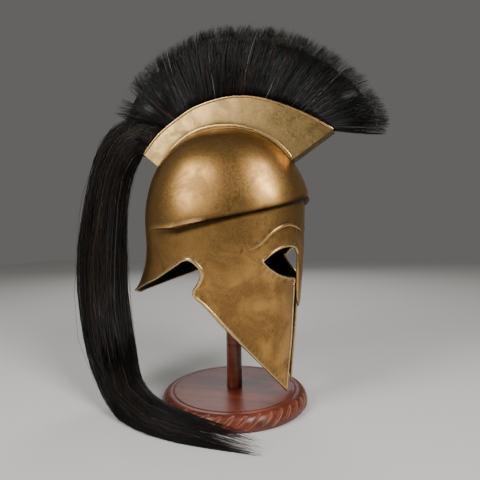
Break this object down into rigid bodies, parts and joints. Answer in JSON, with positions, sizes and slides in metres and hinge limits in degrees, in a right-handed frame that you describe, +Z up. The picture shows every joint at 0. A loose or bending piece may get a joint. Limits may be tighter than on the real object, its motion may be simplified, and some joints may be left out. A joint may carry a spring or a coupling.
{
  "type": "corinthian helmet on a wooden stand",
  "caption": "Brass Corinthian helmet with eye openings, nasal, cheek pieces and flared neck guard, horsehair fan crest and long tail, on a turned wooden post and round base.",
  "frame": {"origin": "centre of the stand base's underside, on the axis of the post", "axes": "+Z up, the helmet faces -Y, the wearer's left is +X"},
  "size_m": [0.2523, 0.4703, 0.5445],
  "materials": {
    "aged_brass": "satin",
    "pale_brass": "satin",
    "horsehair": "satin",
    "stained_wood": "satin"
  },
  "bodies": {
    "root": {"helmet_shell": "aged_brass", "crest_holder": "pale_brass", "crest_plume": "horsehair", "tail_plume": "horsehair", "stand_base": "stained_wood", "stand_post": "stained_wood", "stand_cap": "stained_wood"}
  },
  "joints": []
}
